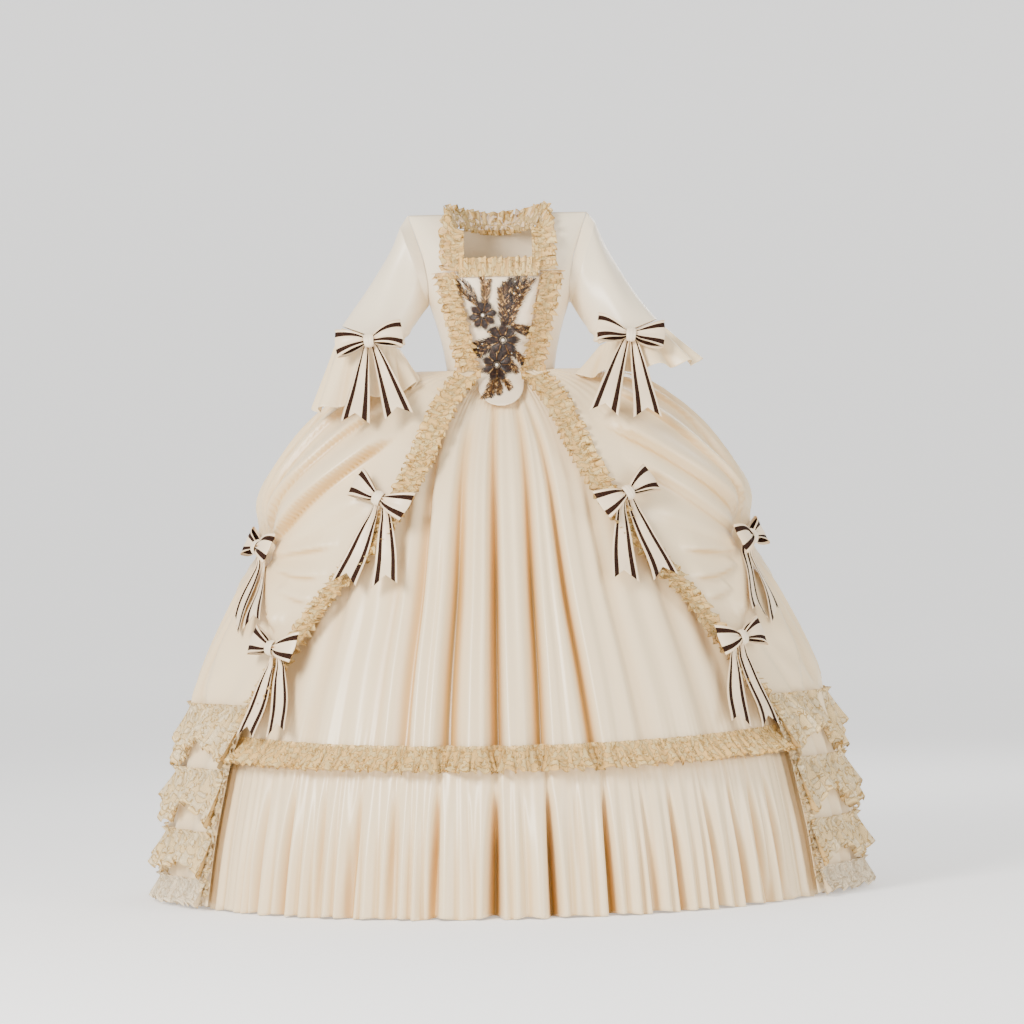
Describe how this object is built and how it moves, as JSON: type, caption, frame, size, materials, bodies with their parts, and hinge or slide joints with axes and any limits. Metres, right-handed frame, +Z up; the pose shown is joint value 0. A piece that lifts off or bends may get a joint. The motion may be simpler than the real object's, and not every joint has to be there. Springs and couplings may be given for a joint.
{
  "type": "robe a la francaise",
  "caption": "Ivory satin sack-back gown, worn and hollow, with a looped overskirt, petticoat, gold lace ruffles, striped ribbon bows and a beaded stomacher.",
  "frame": {"origin": "midway between the shoulders, where the wearer holds the gown up", "axes": "+X to the viewer's right as the gown faces them, -Y out of the front, +Z up"},
  "size_m": [1.469, 1.3022, 1.4319],
  "materials": {
    "ivory_satin": "soft satin sheen",
    "light_satin": "soft satin sheen, paler",
    "striped_ribbon": "satin with dark brown velvet stripes",
    "gold_lace": "open corded lace",
    "brown_beads": "glossy beads on net"
  },
  "bodies": {
    "root": {"bodice_back": "ivory_satin", "bodice_front_left": "ivory_satin", "bodice_front_right": "ivory_satin", "bow_lower_left_knot": "light_satin", "bow_lower_left_loops": "striped_ribbon", "bow_lower_left_tails": "striped_ribbon", "bow_lower_right_knot": "light_satin", "bow_lower_right_loops": "striped_ribbon", "bow_lower_right_tails": "striped_ribbon", "bow_side_left_knot": "light_satin", "bow_side_left_loops": "striped_ribbon", "bow_side_left_tails": "striped_ribbon", "bow_side_right_knot": "light_satin", "bow_side_right_loops": "striped_ribbon", "bow_side_right_tails": "striped_ribbon", "bow_sleeve_left_knot": "light_satin", "bow_sleeve_left_loops": "striped_ribbon", "bow_sleeve_left_tails": "striped_ribbon", "bow_sleeve_right_knot": "light_satin", "bow_sleeve_right_loops": "striped_ribbon", "bow_sleeve_right_tails": "striped_ribbon", "bow_upper_left_knot": "light_satin", "bow_upper_left_loops": "striped_ribbon", "bow_upper_left_tails": "striped_ribbon", "bow_upper_right_knot": "light_satin", "bow_upper_right_loops": "striped_ribbon", "bow_upper_right_tails": "striped_ribbon", "hem_lace_left": "gold_lace", "hem_lace_right": "gold_lace", "lace_edge_left": "gold_lace", "lace_edge_right": "gold_lace", "lace_neck": "gold_lace", "lace_robing_left": "gold_lace", "lace_robing_right": "gold_lace", "lace_stomacher": "gold_lace", "overskirt_left": "ivory_satin", "overskirt_right": "ivory_satin", "petticoat_back": "ivory_satin", "petticoat_flounce_back": "ivory_satin", "petticoat_flounce_front": "ivory_satin", "petticoat_flounce_left": "ivory_satin", "petticoat_flounce_right": "ivory_satin", "petticoat_front": "ivory_satin", "petticoat_lace": "gold_lace", "petticoat_left": "ivory_satin", "petticoat_right": "ivory_satin", "sleeve_flounce_left": "ivory_satin", "sleeve_flounce_right": "ivory_satin", "sleeve_left": "ivory_satin", "sleeve_right": "ivory_satin", "stomacher": "light_satin", "stomacher_applique": "brown_beads", "tier_lower_left": "gold_lace", "tier_lower_right": "gold_lace", "tier_middle_left": "gold_lace", "tier_middle_right": "gold_lace", "tier_upper_left": "gold_lace", "tier_upper_right": "gold_lace", "watteau_pleat_left": "ivory_satin", "watteau_pleat_right": "ivory_satin"}
  },
  "joints": []
}
